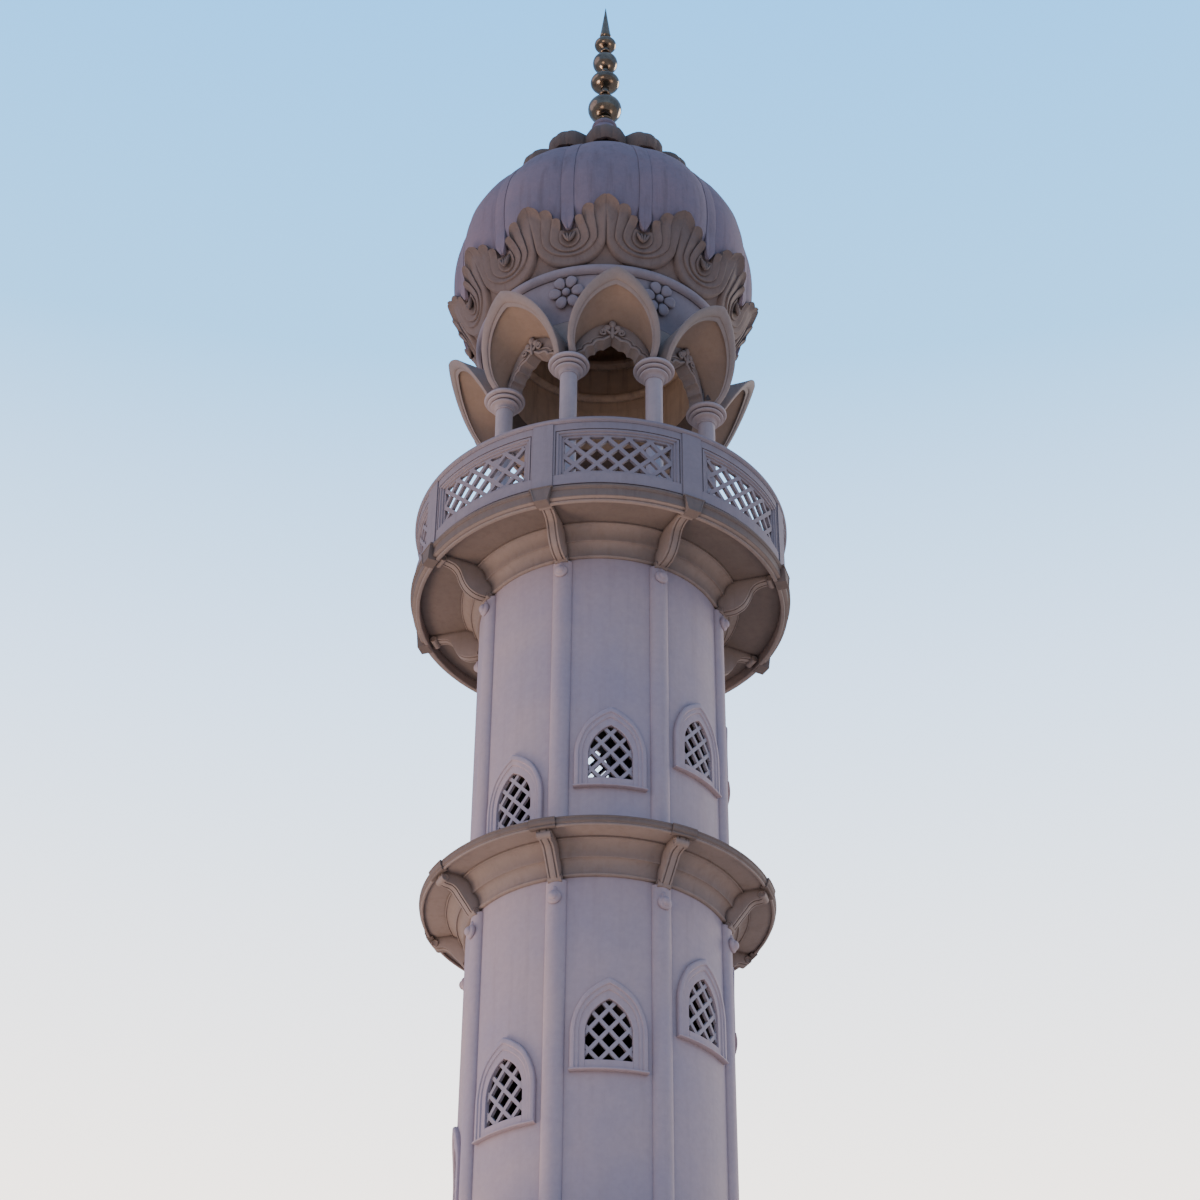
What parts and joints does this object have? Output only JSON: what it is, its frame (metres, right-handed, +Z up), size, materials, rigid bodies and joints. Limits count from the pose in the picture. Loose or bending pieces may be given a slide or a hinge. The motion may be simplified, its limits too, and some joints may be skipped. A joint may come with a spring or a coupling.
{
  "type": "round masonry minaret with a domed kiosk",
  "caption": "Tall round plastered tower with ribs, eave galleries, a railed balcony, an open kiosk with hooded arches, a lobed dome and a metal finial.",
  "frame": {"origin": "centre of the underside of the plinth, at ground level", "axes": "+Z up along the tower's axis, -Y towards the front panel, +X to its right"},
  "size_m": [5.0752, 5.0752, 34.3],
  "materials": {
    "plaster": "painted lime plaster, matte, weathered",
    "finial": "polished, tarnished"
  },
  "bodies": {
    "root": {"balcony": "plaster", "base_moulding": "plaster", "base_wall_1": "plaster", "base_wall_2": "plaster", "base_wall_3": "plaster", "base_wall_4": "plaster", "dome": "plaster", "doorway_wall": "plaster", "finial": "finial", "handrail": "plaster", "hooded_arch_1": "plaster", "hooded_arch_2": "plaster", "hooded_arch_3": "plaster", "hooded_arch_4": "plaster", "hooded_arch_5": "plaster", "hooded_arch_6": "plaster", "hooded_arch_7": "plaster", "hooded_arch_8": "plaster", "kiosk_column_1": "plaster", "kiosk_column_2": "plaster", "kiosk_column_3": "plaster", "kiosk_column_4": "plaster", "kiosk_column_5": "plaster", "kiosk_column_6": "plaster", "kiosk_column_7": "plaster", "kiosk_column_8": "plaster", "kiosk_drum": "plaster", "leaf_collar": "plaster", "lotus_crown": "plaster", "lower_gallery": "plaster", "middle_gallery": "plaster", "middle_wall_1": "plaster", "middle_wall_2": "plaster", "middle_wall_3": "plaster", "middle_wall_4": "plaster", "plinth": "plaster", "railing_kerb_and_posts": "plaster", "railing_panel_1": "plaster", "railing_panel_2": "plaster", "railing_panel_3": "plaster", "railing_panel_4": "plaster", "railing_panel_5": "plaster", "railing_panel_6": "plaster", "railing_panel_7": "plaster", "railing_panel_8": "plaster", "upper_wall_1": "plaster", "upper_wall_2": "plaster", "upper_wall_3": "plaster", "upper_wall_4": "plaster"}
  },
  "joints": []
}
